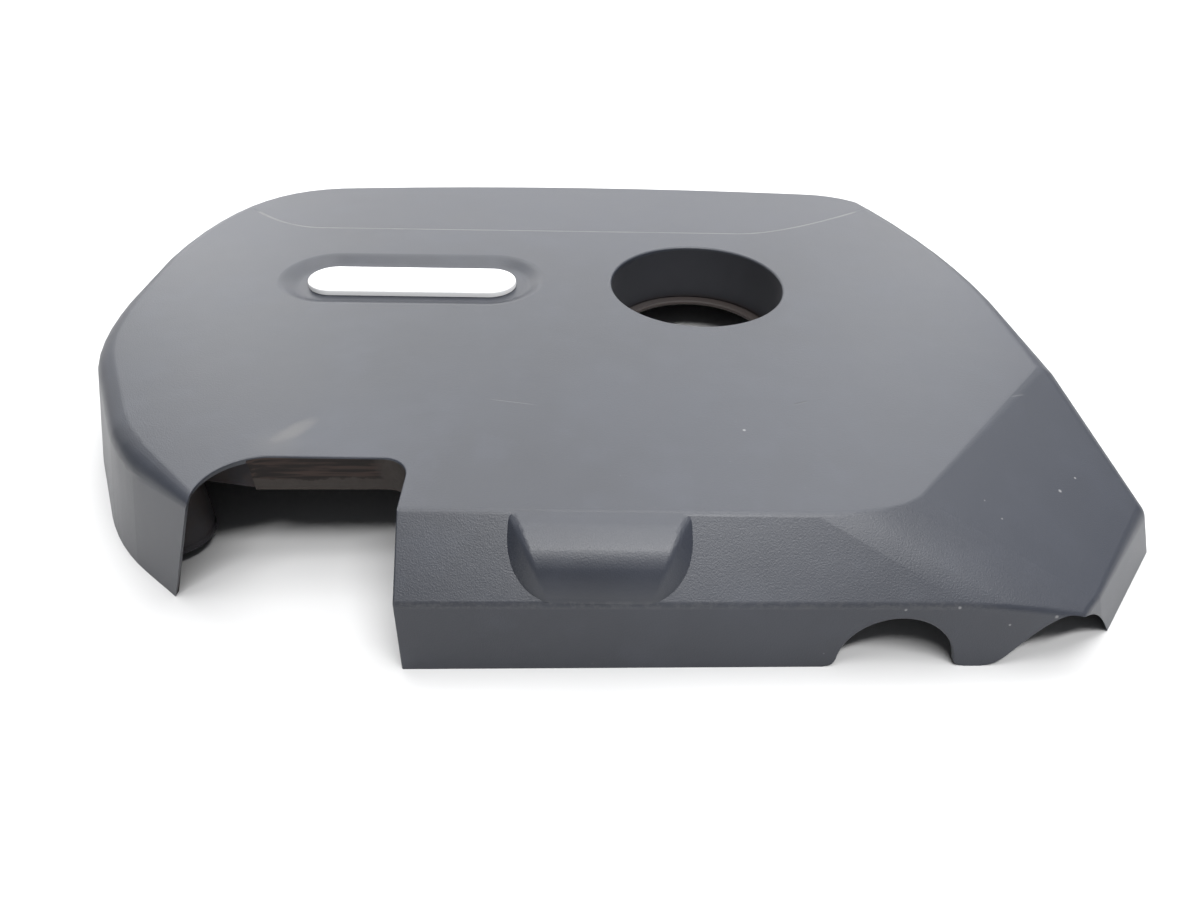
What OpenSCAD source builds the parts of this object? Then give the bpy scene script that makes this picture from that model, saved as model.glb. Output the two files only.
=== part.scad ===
// Moulded engine cover with a filler opening, a badge plate and four rubber mounts.
// It stands on its rim: X runs along its length, Y from front to back and Z up.

/* [Cover] */
// Length of the rim, left to right
cover_l = 532; // [500:1:570]
// Depth of the rim, front to back
cover_d = 392; // [370:1:420]
// Height of the top face above the rim, at mid length
top_h = 58; // [52:0.5:68]
// Fall of the top face towards the right end, in degrees
top_tilt = 0.9; // [0:0.1:1.5]
// Thickness of the moulded wall
wall = 2.6; // [2:0.1:3.2]
// Rounding radius between the top and the skirts
edge_r = 11; // [6:0.5:13]

/* [Skirts] */
// How far the left skirt leans out from the top to the rim
left_flare = 17; // [10:0.5:22]
// How far the right skirt leans out
right_flare = 25; // [15:0.5:30]
// How far the rear skirt leans out
rear_flare = 10; // [5:0.5:16]
// How far the front skirt leans out
front_flare = 6; // [3:0.5:10]

/* [Front face] */
// Distance of the upper front crease behind the front rim
crease_y = 32; // [28:0.5:40]
// Slope of the face between the two front creases, in degrees
face_slope = 42; // [36:0.5:46]
// Rounding radius of the front creases
crease_r = 4.5; // [3.5:0.5:6]

/* [Slanted corner face] */
// Where its upper edge leaves the front crease, from the right end
slant_front_x = 136; // [120:1:160]
// Width of the soft turn between it and the front face
slant_blend = 36; // [10:1:45]
// Where its upper edge meets the right side, behind the front rim
slant_rear_y = 148; // [130:1:170]
// Slope of the slanted face, in degrees
slant_slope = 21.5; // [16:0.5:24]
// Rounding radius of its upper edge at the right side, where it softens
crease_end_r = 16; // [8:0.5:18]
// Rounding radius where it turns into the right skirt
shoulder_r = 10; // [7:0.5:14]

/* [Front swelling] */
// Width of the swelling at the upper crease
swell_back_w = 72; // [60:1:84]
// Width of the swelling at its foot
swell_foot_w = 38; // [30:1:46]
// Radius of its roll from the top to the front skirt
swell_r = 18; // [15:0.5:20]
// Rounding radius along its sides
swell_edge_r = 5; // [4:0.5:6]
// Spread of its side walls
swell_spread = 9; // [6:0.5:12]

/* [Rear band] */
// Distance of the band's front crease from the rear rim
band_y = 90; // [70:1:100]
// Left and right ends of its straight stretch, from the ends of the rim
band_ends = [100, 170]; // [80:1:190]
// Step down at the crease
band_step = 0.7; // [0.4:0.1:1.2]
// Fall of the band towards the rear, in degrees
band_fall = 1.6; // [0.5:0.1:2.5]

/* [Badge] */
// Share of the free length between the left end and the filler collar that lies left of the badge
badge_share = 0.717; // [0.6:0.001:0.8]
// Distance of the badge's middle from the front rim
badge_mid_y = 233; // [220:1:250]
// Length and width of the badge plate
badge_size = [118, 30]; // [24:1:130]
// Thickness of the badge plate
badge_t = 3.4; // [2:0.1:4]
// Width of its raised border
badge_border = 2.2; // [1.5:0.1:3]
// Depth of the badge pocket
pocket_depth = 4; // [3:0.1:5]
// Free room around the badge on the pocket's floor
pocket_room = 7; // [4:0.5:9]
// Run of the pocket's sloping banks
pocket_bank = 8; // [6:0.5:11]
// Diameter of the two pins under the badge
pin_d = 4; // [3:0.1:5]

/* [Filler opening] */
// Diameter of the opening
filler_d = 97; // [85:0.5:105]
// Place of its centre from the right end and from the front rim
filler_at = [202, 231]; // [150:1:260]
// Depth of the collar below the top face
collar_depth = 36.5; // [25:0.5:38]
// Thickness of the collar wall
collar_t = 2.4; // [2:0.1:3]
// How far the lip at the collar's foot reaches in
collar_lip = 3; // [2:0.5:5]

/* [Front notch] */
// Left and right ends of the notch, from the left end of the rim
notch_x = [110, 194]; // [90:1:220]
// Depth of the notch from the front rim
notch_depth = 65; // [50:1:80]
// Corner radii of the notch, left and right
notch_r = [25, 12]; // [8:1:30]
// Lean of the notch's left edge, in degrees
notch_lean = 21; // [10:0.5:24]
// Depth of the flange along the notch's rear edge
flange_depth = 16; // [10:0.5:22]

/* [Rim cut-outs] */
// Centre of the round cut-out, from the right end
arch_x = 137; // [130:1:142]
// Radius of the round cut-out
arch_r = 24; // [18:0.5:25]
// Height of the round cut-out above the rim
arch_h = 25; // [20:0.5:27]
// Left foot, crown and right foot of the corner cut-out, from the right end
corner_cut_x = [96, 70, 40]; // [35:1:100]
// Height of the corner cut-out above the rim
corner_cut_h = 26; // [18:0.5:27]

/* [Underside] */
// Height of the stiffening ribs below the wall
rib_h = 7; // [4:0.5:10]
// Thickness of the ribs
rib_t = 1.6; // [1.2:0.1:2.2]
// Spacing of the ribs
rib_pitch = 62; // [50:1:80]
// Distance of the left and right mounts from the ends of the rim
mount_ends = [78, 106]; // [70:1:115]
// Distance of the front and rear mounts from the front and rear rims
mount_rims = [76, 66]; // [60:1:85]
// Outer diameter of the mount towers
tower_d = 34; // [32:0.5:38]
// Height of the tower's foot above the rim
tower_foot = 7; // [6:0.5:12]
// Diameter of the hole that holds a rubber mount
seat_d = 22; // [20:0.5:24]
// Diameter of the ball pocket in a rubber mount
ball_d = 10; // [8:0.5:12]

/* [Hidden] */

$fn = 48;
// Faces around a ball of the skin
BALL_FN = 24;
// A cut reaches this far past the wall it cuts,
PAST = 20;
// and starts this far outside a face that it opens
OUT = 1;
// Thickness of the discs that round the skin's corners just below the rim
RIM_DISC = 0.1;
x_l = -cover_l / 2;
x_r = cover_l / 2;
y_f = -cover_d / 2;
y_b = cover_d / 2;

// Points of a curve that leaves a towards c and arrives at b from c, without b itself
function bend(a, c, b, n) = [for (i = [0:n - 1]) let (t = i / n)
    (1 - t) * (1 - t) * a + 2 * t * (1 - t) * c + t * t * b];

// Corners of the rim, anticlockwise seen from above
front_left = [x_l + 137, y_f];
front_right = [x_r - 59, y_f + 2.5];
corner_right = [x_r - 44, y_f + 17];
side_right = [x_r, y_f + 71];
rear_right = [x_r - 13, y_b - 192];
turn_right = [x_r - 59, y_b - 31];
back_right = [x_r - 118, y_b - 6];
back_left = [x_l + 110, y_b - 6];
side_left = [x_l + 2, y_b - 134];
waist_left = [x_l, y_f + 205];
cheek_left = [x_l + 13, y_f + 139];
nose_left = [x_l + 36, y_f + 95];
nose_front = [x_l + 68, y_f + 56.5];
rim = concat(
    [front_left, front_right, corner_right, side_right],
    bend(rear_right, [x_r - 17, y_b - 115], turn_right, 4),
    bend(turn_right, [x_r - 82, y_b - 8], back_right, 4),
    bend(back_right, [x_r - 277, y_b + 6], back_left, 4),
    bend(back_left, [x_l + 15, y_b - 9], side_left, 6),
    [side_left],
    bend(waist_left, [x_l, y_f + 163], cheek_left, 3),
    [cheek_left],
    bend(nose_left, [x_l + 48, y_f + 73], nose_front, 3),
    [nose_front]);
RIM_N = len(rim);

// A plane is its outward unit normal and its distance from the origin
function unit(v) = v / norm(v);
function inward(p, t) = [p[0], p[1] - t];
function meet(a, b, c) =
    let (bc = cross(b[0], c[0]), ca = cross(c[0], a[0]), ab = cross(a[0], b[0]))
    (a[1] * bc + b[1] * ca + c[1] * ab) / (a[0] * bc);

// Outward lean of a skirt that faces the direction n, at the height of the top.
// The wide lean of the two ends dies out quickly round the corners.
LEAN_POWER = 2.5;
function lean_run(n) =
    let (side = pow(abs(n.x), LEAN_POWER))
    side * (n.x < 0 ? left_flare : right_flare) + (1 - side) * (n.y < 0 ? front_flare : rear_flare);
function skirt(i) =
    let (a = rim[i % RIM_N], b = rim[(i + 1) % RIM_N], d = unit(b - a), n = [d.y, -d.x],
         lean = atan(lean_run(n) / top_h), up = [n.x * cos(lean), n.y * cos(lean), sin(lean)])
    [up, up * [a.x, a.y, 0]];

RIM_LEVEL = [[0, 0, 1], -1];
TOP_N = [sin(top_tilt), 0, cos(top_tilt)];
TOP = [TOP_N, TOP_N.z * top_h];
function top_z(x) = top_h - tan(top_tilt) * x;

// The front face turns down from the upper crease
// and the slanted face from a line across the front right corner of the top.
// Between them the slope changes evenly, so the faces in a row roll softly into each other.
slant_a = [x_r - slant_front_x, y_f + crease_y];
slant_b = [x_r - 41, y_f + slant_rear_y];
slant_d = unit(slant_b - slant_a);
front_fall = [tan(top_tilt), -tan(face_slope)];
slant_fall = [slant_d.y * tan(slant_slope), -slant_d.x * tan(slant_slope)];
function sloped(t) =
    let (fall = (1 - t) * front_fall + t * slant_fall, n = unit([fall.x, fall.y, 1]),
         drop = norm(slant_fall - front_fall) * slant_blend * (t - t * t) / 2)
    [n, n * [slant_a.x, slant_a.y, top_z(slant_a.x) - drop]];
BLEND_N = 5;
slopes = [for (i = [0:BLEND_N]) sloped(i / BLEND_N)];
SLANT = slopes[BLEND_N];

// Each ball of the skin touches three planes from inside: [planes, radius]
crown = concat(slopes, [for (i = [3:RIM_N - 1]) skirt(i)]);
CROWN_N = len(crown);
crown_r = concat([for (i = [1:BLEND_N]) crease_r], [crease_end_r],
    [for (i = [BLEND_N + 1:CROWN_N - 2]) edge_r], [crease_r]);
rim_r = concat([for (i = [0:3]) crease_r], [for (i = [4:RIM_N - 1]) edge_r]);
// Folds between the slopes that reach the front skirt, before its right corner
FRONT_FOLDS = len([for (i = [0:BLEND_N - 1])
    if (meet(slopes[i], slopes[i + 1], skirt(0)).x < front_right.x) i]);
balls = concat(
    [for (i = [0:CROWN_N - 1]) [[TOP, crown[i], crown[(i + 1) % CROWN_N]], crown_r[i]]],
    [[[slopes[0], skirt(0), skirt(RIM_N - 1)], crease_r]],
    [for (i = [0:BLEND_N - 1]) [[slopes[i], slopes[i + 1], skirt(i < FRONT_FOLDS ? 0 : 1)], crease_r]],
    [[[slopes[FRONT_FOLDS], skirt(0), skirt(1)], crease_r],
     [[SLANT, skirt(1), skirt(2)], crease_r],
     [[SLANT, skirt(2), skirt(3)], shoulder_r]]);
function ball_centre(b) = meet(inward(b[0][0], b[1]), inward(b[0][1], b[1]), inward(b[0][2], b[1]));
function rim_centre(i) =
    meet(inward(skirt(i + RIM_N - 1), rim_r[i]), inward(skirt(i), rim_r[i]), RIM_LEVEL);

// Reach of the curves at the ends of the rear band's crease, and their number of points
BAND_TURN = 45;
BAND_N = 6;

// The swelling: its middle, how far its top lies below the cover's top, how far it stands before
// the front skirt, height of its side walls, angle over which it would reach its full width,
// and how much its side walls spread near the top
SWELL_X = x_l + 275;
SWELL_LOW = 0.8;
SWELL_OUT = 1;
SWELL_SIDE_H = 12;
SWELL_FAN = 120;
SWELL_FLARE = 0.85;
SWELL_FN = 16;

filler_x = x_r - filler_at.x;
filler_y = y_f + filler_at.y;
badge_room = badge_size.x + 2 * (pocket_room + pocket_bank);
badge_x = x_l + badge_room / 2 + badge_share * (filler_x - filler_d / 2 - collar_t - x_l - badge_room);
badge_y = y_f + badge_mid_y;
pin_gap = badge_size.x - badge_size.y;
PIN_PLAY = 0.15;
RIVET_D = pin_d + 3;
RIVET_T = 1.2;
FILLER_BEVEL = 1.2;
// Width of the notch's left part that leans, past its corner's radius
LEAN_PAST = 9;
// Where the notch's flange starts and where its web ends, from the notch's left end
FLANGE_START = 3;
WEB_END = 8;
// Reach of the corner cut-out's curves from its two feet, which lie below the rim
CORNER_TURN = [18, 16];
CORNER_FOOT = 2;
CORNER_N = 6;
// Rounding of the feet that stand beside the cut-outs, which starts just below the rim
FOOT_R = 5;
FOOT_LOW = 0.2;
FOOT_N = 4;
// Wall of the mount towers and thickness of their foot plates
TOWER_T = 2.4;
SEAT_T = 3;
// Rubber mount: thickness of its lower lip, height of its head, depth of the ball pocket,
// bevel at the pocket's mouth, its room in the tower and how much lip and head narrow
LIP_T = 3;
HEAD_H = 9;
BALL_DEPTH = 13;
MOUTH = 2.5;
LIP_ROOM = 1;
HEAD_NARROW = 2;
mounts = [for (y = [y_f + mount_rims[0], y_b - mount_rims[1]])
    for (x = [x_l + mount_ends[0], x_r - mount_ends[1]]) [x, y]];

module ball(r) {
    rotate_extrude() intersection() {
        circle(r);
        translate([0, -r]) square([r, 2 * r]);
    }
}

// The smooth skin, moved inwards by t
module skin(t) {
    $fn = BALL_FN;
    hull() {
        for (b = balls) translate(ball_centre(b)) ball(b[1] - t);
        for (i = [0:RIM_N - 1]) translate(rim_centre(i))
            cylinder(r = rim_r[i] - t, h = RIM_DISC);
    }
}

// The swelling of the front face, which rolls over to the front skirt and spreads to its foot
module swelling(t) {
    e = swell_edge_r;
    roll = swell_r - e;
    roll_y = y_f + front_flare + swell_r - SWELL_OUT;
    roll_z = top_h - swell_r - SWELL_LOW;
    $fn = SWELL_FN;
    hull() for (side = [-1, 1]) {
        for (a = [0:18:90]) {
            y = roll_y - roll * cos(a);
            z = roll_z + roll * sin(a);
            half = (swell_foot_w + (swell_back_w - swell_foot_w) * a / SWELL_FAN) / 2;
            foot = half + swell_spread * (1 - SWELL_FLARE + SWELL_FLARE * sin(a));
            translate([SWELL_X + side * half, y, z]) ball(e - t);
            translate([SWELL_X + side * foot, y, z - SWELL_SIDE_H]) ball(e - t);
        }
        translate([SWELL_X + side * swell_back_w / 2, y_f + crease_y + e, roll_z + roll]) ball(e - t);
    }
}

// Brings a shape drawn around the origin to a place on the top face, square to it
module on_top(x, y) {
    translate([x, y, top_z(x)]) rotate([0, top_tilt, 0]) children();
}

module oblong(length, width) {
    for (side = [-1, 1]) translate([side * (length - width) / 2, 0]) circle(d = width);
    square([length - width, width], center = true);
}

// Pocket for the badge, moved outwards by t
module pocket(t) {
    bank_turn = tan(atan2(pocket_bank, pocket_depth) / 2);
    l = badge_size.x + 2 * pocket_room + 2 * t * bank_turn;
    w = badge_size.y + 2 * pocket_room + 2 * t * bank_turn;
    h = pocket_depth + PAST / 2;
    grow = pocket_bank * h / pocket_depth;
    on_top(badge_x, badge_y) translate([0, 0, -pocket_depth - t])
        linear_extrude(h, scale = [1 + 2 * grow / l, 1 + 2 * grow / w], slices = 1) oblong(l, w);
}

// Lowered band along the rear edge, moved outwards by t
module band(t) {
    back = band_y + PAST;
    left = x_l + band_ends[0];
    right = x_r - band_ends[1];
    plan = concat(bend([x_l, back], [left - BAND_TURN, 0], [left, 0], BAND_N),
        bend([right, 0], [right + BAND_TURN, 0], [x_r, back], BAND_N), [[x_r, back]]);
    translate([0, y_b - band_y, top_h - band_step - t]) rotate([-band_fall, top_tilt, 0])
        linear_extrude(PAST) offset(delta = t) polygon(plan);
}

// Outer form of the cover, moved inwards by t
module form(t) {
    difference() {
        union() {
            skin(t);
            swelling(t);
        }
        band(t);
        pocket(t);
    }
}

module notch_plan(grow) {
    w = notch_x[1] - notch_x[0];
    r0 = notch_r[0];
    r1 = notch_r[1];
    translate([-grow, -PAST]) square([w + 2 * grow, notch_depth + PAST - r0]);
    translate([r0, -PAST]) square([w - r0 - r1, notch_depth + PAST + grow]);
    translate([w / 2, -PAST]) square([w / 2 + grow, notch_depth + PAST - r1]);
    translate([r0, notch_depth - r0]) circle(r0 + grow);
    translate([w - r1, notch_depth - r1]) circle(r1 + grow);
}

module notch_cut() {
    left = x_l + notch_x[0];
    reach = top_h / cos(notch_lean) + PAST;
    translate([left, y_f, -PAST]) linear_extrude(top_h + 2 * PAST) notch_plan(0);
    translate([left, y_f, top_z(left) + OUT]) rotate([0, notch_lean, 0]) translate([0, 0, -reach])
        linear_extrude(reach) intersection() {
            notch_plan(0);
            translate([-OUT, -PAST]) square([OUT + notch_r[0] + LEAN_PAST, notch_depth + 2 * PAST]);
        }
}

// Flange that hangs from the rear edge of the notch and follows its two corners
module notch_flange() {
    left = x_l + notch_x[0];
    translate([left, y_f, top_z(left) - wall - flange_depth]) linear_extrude(flange_depth + wall)
        difference() {
            notch_plan(wall);
            notch_plan(0);
            translate([0, -2 * PAST]) square([cover_l, notch_depth + 2 * PAST - notch_r[1]]);
            translate([-PAST, -PAST]) square([PAST + FLANGE_START, notch_depth + 2 * PAST]);
        }
}

// Web between the front left tower and the left end of the notch's flange
module notch_web() {
    run = [x_l + notch_x[0] + WEB_END, y_f + notch_depth] - mounts[0];
    start = tower_d / 2 - TOWER_T;
    translate([mounts[0].x, mounts[0].y, top_h - flange_depth]) rotate(atan2(run.y, run.x))
        translate([start, -rib_t / 2, 0]) cube([norm(run) - start, rib_t, PAST]);
}

// Cut-outs in the front rim: a round one and the one under the right corner
module rim_cuts() {
    foot_l = [x_r - corner_cut_x[0], -CORNER_FOOT];
    crest = [x_r - corner_cut_x[1], corner_cut_h];
    foot_r = [x_r - corner_cut_x[2], -CORNER_FOOT];
    curve = bend(foot_l, [foot_l.x + CORNER_TURN[0], corner_cut_h], crest, CORNER_N);
    translate([0, y_f + crease_y, 0]) rotate([90, 0, 0]) linear_extrude(crease_y + PAST) {
        translate([x_r - arch_x, arch_h - arch_r]) circle(arch_r);
        for (side = [-1, 1]) translate([x_r - arch_x, 0]) polygon(concat(
            bend([side * (arch_r + FOOT_R), -FOOT_LOW], [side * arch_r, -FOOT_LOW],
                [side * sqrt(pow(arch_r, 2) - pow(FOOT_R - arch_h + arch_r, 2)), FOOT_R], FOOT_N),
            [[0, FOOT_R], [0, -PAST], [side * (arch_r + FOOT_R), -PAST]]));
        polygon(concat(
            bend([foot_l.x - FOOT_R, -FOOT_LOW], [foot_l.x + OUT, -FOOT_LOW], curve[1], FOOT_N),
            [for (i = [1:CORNER_N - 1]) curve[i]],
            bend(crest, [foot_r.x - CORNER_TURN[1], corner_cut_h], foot_r, CORNER_N),
            [foot_r, [foot_r.x, -PAST], [foot_l.x - FOOT_R, -PAST]]));
    }
}

module collar() {
    r = filler_d / 2;
    on_top(filler_x, filler_y) difference() {
        translate([0, 0, -collar_depth]) cylinder(r = r + collar_t, h = collar_depth - wall / 2);
        translate([0, 0, -collar_depth - OUT]) cylinder(r = r - collar_lip, h = collar_depth + PAST);
    }
}

module filler_cut() {
    r = filler_d / 2;
    on_top(filler_x, filler_y) {
        translate([0, 0, -collar_depth + wall]) cylinder(r = r, h = collar_depth + PAST);
        translate([0, 0, -FILLER_BEVEL]) cylinder(r1 = r, r2 = r + PAST, h = PAST);
    }
}

// Ribs below the top face, clear of the filler opening
module ribs() {
    on_top(0, 0) translate([0, 0, -wall - rib_h]) difference() {
        union() {
            for (i = [-3:3]) translate([i * rib_pitch - rib_t / 2, y_f, 0])
                cube([rib_t, cover_d, rib_h + wall / 2]);
            for (i = [-1:2]) translate([x_l, i * rib_pitch - rib_t / 2, 0])
                cube([cover_l, rib_t, rib_h + wall / 2]);
        }
        translate([filler_x, filler_y, -OUT]) cylinder(d = filler_d, h = rib_h + PAST);
    }
}

// Hollow tower with a foot plate that holds a rubber mount
module tower() {
    difference() {
        cylinder(d = tower_d, h = top_h + PAST);
        translate([0, 0, SEAT_T]) cylinder(d = tower_d - 2 * TOWER_T, h = top_h + PAST);
    }
}

module towers() {
    for (m = mounts) translate([m.x, m.y, tower_foot]) tower();
}

module cover_shell() {
    color("#75777c") difference() {
        union() {
            difference() {
                form(0);
                form(wall);
            }
            intersection() {
                form(wall / 2);
                union() {
                    ribs();
                    towers();
                    notch_flange();
                    notch_web();
                }
            }
            collar();
        }
        translate([x_l - PAST, y_f - PAST, -2 * PAST])
            cube([cover_l + 2 * PAST, cover_d + 2 * PAST, 2 * PAST]);
        filler_cut();
        notch_cut();
        rim_cuts();
        for (m = mounts) translate([m.x, m.y, tower_foot - OUT]) cylinder(d = seat_d, h = SEAT_T + 2 * OUT);
        on_top(badge_x, badge_y) for (side = [-1, 1])
            translate([side * pin_gap / 2, 0, -pocket_depth - wall - OUT])
                cylinder(d = pin_d + 2 * PIN_PLAY, h = wall + 2 * OUT);
    }
}

// Oblong plate with a raised border, held by two pins with closed heads
module badge_plate() {
    field = 0.8;
    color("#d4d6d8") on_top(badge_x, badge_y) translate([0, 0, -pocket_depth]) {
        difference() {
            linear_extrude(badge_t) oblong(badge_size.x, badge_size.y);
            translate([0, 0, badge_t - field]) linear_extrude(badge_t)
                oblong(badge_size.x - 2 * badge_border, badge_size.y - 2 * badge_border);
        }
        for (side = [-1, 1]) translate([side * pin_gap / 2, 0, 0]) {
            translate([0, 0, -wall - RIVET_T / 2]) cylinder(d = pin_d, h = wall + RIVET_T);
            translate([0, 0, -wall - RIVET_T]) cylinder(d1 = pin_d, d2 = RIVET_D, h = RIVET_T);
        }
    }
}

// Rubber mount with a waist that sits in the tower's foot and a pocket for a ball pin
module grommet(at) {
    seat_r = seat_d / 2;
    lip_r = tower_d / 2 - TOWER_T - LIP_ROOM;
    color("#1d1d1f") translate([at.x, at.y, tower_foot - LIP_T]) difference() {
        union() {
            cylinder(r1 = lip_r - LIP_ROOM, r2 = lip_r, h = LIP_T);
            cylinder(r = seat_r, h = LIP_T + SEAT_T);
            translate([0, 0, LIP_T + SEAT_T])
                cylinder(r1 = lip_r - LIP_ROOM / 2, r2 = seat_r - HEAD_NARROW, h = HEAD_H);
        }
        translate([0, 0, -OUT]) cylinder(d = ball_d, h = BALL_DEPTH + OUT);
        translate([0, 0, -OUT]) cylinder(d1 = ball_d + 2 * MOUTH, d2 = ball_d, h = MOUTH);
    }
}

cover_shell();
badge_plate();
grommet(mounts[0]);  // grommet_front_left
grommet(mounts[1]);  // grommet_front_right
grommet(mounts[2]);  // grommet_rear_left
grommet(mounts[3]);  // grommet_rear_right
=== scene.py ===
"""Moulded engine cover on a pale table: shell, badge plate and rubber mounts with their finishes."""
import math

import bpy
from mathutils import Matrix, Vector


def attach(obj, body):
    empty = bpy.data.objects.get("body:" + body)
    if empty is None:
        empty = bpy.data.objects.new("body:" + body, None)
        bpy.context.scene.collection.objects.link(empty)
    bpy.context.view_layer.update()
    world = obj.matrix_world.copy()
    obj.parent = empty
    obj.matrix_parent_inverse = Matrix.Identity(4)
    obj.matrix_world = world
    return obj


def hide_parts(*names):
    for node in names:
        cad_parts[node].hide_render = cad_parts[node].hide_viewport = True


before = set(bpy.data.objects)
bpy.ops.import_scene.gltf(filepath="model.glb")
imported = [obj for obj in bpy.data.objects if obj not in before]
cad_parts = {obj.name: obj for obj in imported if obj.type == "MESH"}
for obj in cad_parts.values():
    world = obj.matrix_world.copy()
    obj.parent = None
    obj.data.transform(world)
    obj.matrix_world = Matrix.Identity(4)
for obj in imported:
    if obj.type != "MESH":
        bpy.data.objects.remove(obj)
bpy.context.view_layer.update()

MM = 0.001

# Sizes of the cover in millimetres, with its long side along X and its front towards -Y
X_L, X_R, Y_F, Y_B = -266.0, 266.0, -196.0, 196.0
TOP_H = 58.0
TOP_TILT = math.radians(0.9)
WALL = 2.6
EDGE_R, CREASE_R, CREASE_END_R, SHOULDER_R = 11.0, 4.5, 16.0, 10.0
LEFT_FLARE, RIGHT_FLARE, REAR_FLARE, FRONT_FLARE = 17.0, 25.0, 10.0, 6.0
LEAN_POWER = 2.5
CREASE_Y, FACE_SLOPE = 32.0, math.radians(42)
SLANT_FRONT_X, SLANT_BLEND, SLANT_REAR_Y, SLANT_SLOPE = 136.0, 36.0, 148.0, math.radians(21.5)
SWELL_X = X_L + 275
SWELL_BACK_W, SWELL_FOOT_W, SWELL_R, SWELL_EDGE_R, SWELL_SPREAD = 72.0, 38.0, 24.0, 5.0, 7.5
SWELL_BACK_SET, SWELL_SINK, SWELL_BANK_H = 1.0, 0.6, 12.0
BAND_Y, BAND_ENDS, BAND_STEP, BAND_FALL, BAND_TURN = 90.0, (100.0, 170.0), 0.7, math.radians(1.6), 45.0
# Soft roll down to the band: how far out of its crease, and how far below the top
BAND_ROLL = ((0, 0.62), (0.15, 0.48), (0.6, 0.36), (1.3, 0.21), (2.1, 0.09), (2.9, 0.02), (3.6, -0.02))
BADGE_AT, BADGE_SIZE = (X_L + 168, Y_F + 233), (118.0, 30.0)
POCKET_DEPTH, POCKET_ROOM, POCKET_BANK = 4.0, 7.0, 8.0
# Bank of the pocket from its floor up: how far out, and how high over the top
POCKET_ROLL = ((-2.2, -4.0), (-1.2, -3.95), (0, -3.76), (1.2, -3.36), (2.4, -2.8), (4, -2.0),
               (5.6, -1.2), (6.8, -0.64), (8, -0.24), (9.2, -0.05), (10.2, 0.02), (10.4, 8))
# Edge, border and field of the badge: how far out, and how high over the pocket's floor
BADGE_EDGE = ((-0.25, 0), (0, 0.25), (0, 2.5), (-0.1, 2.95), (-0.35, 3.25), (-0.75, 3.4), (-1.45, 3.4),
              (-1.8, 3.28), (-2.05, 3.05), (-2.25, 2.75), (-2.6, 2.62), (-6, 2.66), (-10, 2.74),
              (-14.9, 2.8))
PIN_R, PIN_HOLE_R = 2.0, 2.15
FILLER_AT, FILLER_R = (X_R - 202, Y_F + 231), 48.5
COLLAR_DEPTH, COLLAR_T, COLLAR_LIP = 36.5, 2.4, 5.5
NOTCH_X, NOTCH_DEPTH, NOTCH_R, NOTCH_LEAN = (110.0, 194.0), 65.0, (25.0, 12.0), math.radians(21)
FLANGE_DEPTH, FLANGE_START = 16.0, 15.0
ARCH_X, ARCH_R, ARCH_H = 137.0, 24.0, 25.0
CORNER_CUT_X, CORNER_CUT_H, CORNER_TURN = (96.0, 70.0, 40.0), 26.0, (18.0, 16.0)
FOOT_R = 5.0
RIB_H, RIB_T, RIB_PITCH = 7.0, 1.6, 62.0
MOUNTS = [(x, y) for y in (Y_F + 76, Y_B - 66) for x in (X_L + 78, X_R - 106)]
TOWER_D, TOWER_T, TOWER_FOOT, SEAT_T, SEAT_D = 34.0, 2.4, 7.0, 3.0, 22.0
TOWER_CHAMFER, GROOVE_DEPTH, GROOVE_Z = 0.6, 0.7, (2.4, 3.0, 4.2, 4.8)
# Rounding of the edges where a cut opens the skin, and how deep its rows lie in shares of it
LIP = 0.9
LIP_ROWS = (1.0, 0.7, 0.45, 0.25, 0.1, 0.0)
# How far a cutter reaches past what it cuts
PAST = 20.0
SMOOTH_SHELL, SMOOTH_BADGE = math.radians(32), math.radians(40)


# Planes and rounding balls of the skin
def bend(start, pull, end, steps):
    """Points along a curve that leaves start towards pull; its end is left to what follows"""
    start, pull, end = Vector(start), Vector(pull), Vector(end)
    return [(1 - t) ** 2 * start + 2 * t * (1 - t) * pull + t * t * end
            for t in (i / steps for i in range(steps))]


RIM = (
    [Vector((X_L + 137, Y_F)), Vector((X_R - 59, Y_F + 2.5)), Vector((X_R - 44, Y_F + 17)),
     Vector((X_R, Y_F + 71))]
    + bend((X_R - 13, Y_B - 192), (X_R - 17, Y_B - 115), (X_R - 59, Y_B - 31), 8)
    + bend((X_R - 59, Y_B - 31), (X_R - 82, Y_B - 8), (X_R - 118, Y_B - 6), 8)
    + bend((X_R - 118, Y_B - 6), (X_R - 277, Y_B + 6), (X_L + 110, Y_B - 6), 8)
    + bend((X_L + 110, Y_B - 6), (X_L + 15, Y_B - 9), (X_L + 2, Y_B - 134), 12)
    + [Vector((X_L + 2, Y_B - 134))]
    + bend((X_L, Y_F + 205), (X_L, Y_F + 163), (X_L + 13, Y_F + 139), 6)
    + [Vector((X_L + 13, Y_F + 139))]
    + bend((X_L + 36, Y_F + 95), (X_L + 48, Y_F + 73), (X_L + 68, Y_F + 56.5), 6)
    + [Vector((X_L + 68, Y_F + 56.5))])
SIDES = len(RIM)


def inward(plane, t):
    """A plane (outward normal, distance) moved into the cover"""
    return plane[0], plane[1] - t


def meet(a, b, c):
    """The point where three planes meet"""
    bc, ca, ab = b[0].cross(c[0]), c[0].cross(a[0]), a[0].cross(b[0])
    return (a[1] * bc + b[1] * ca + c[1] * ab) / a[0].dot(bc)


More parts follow.
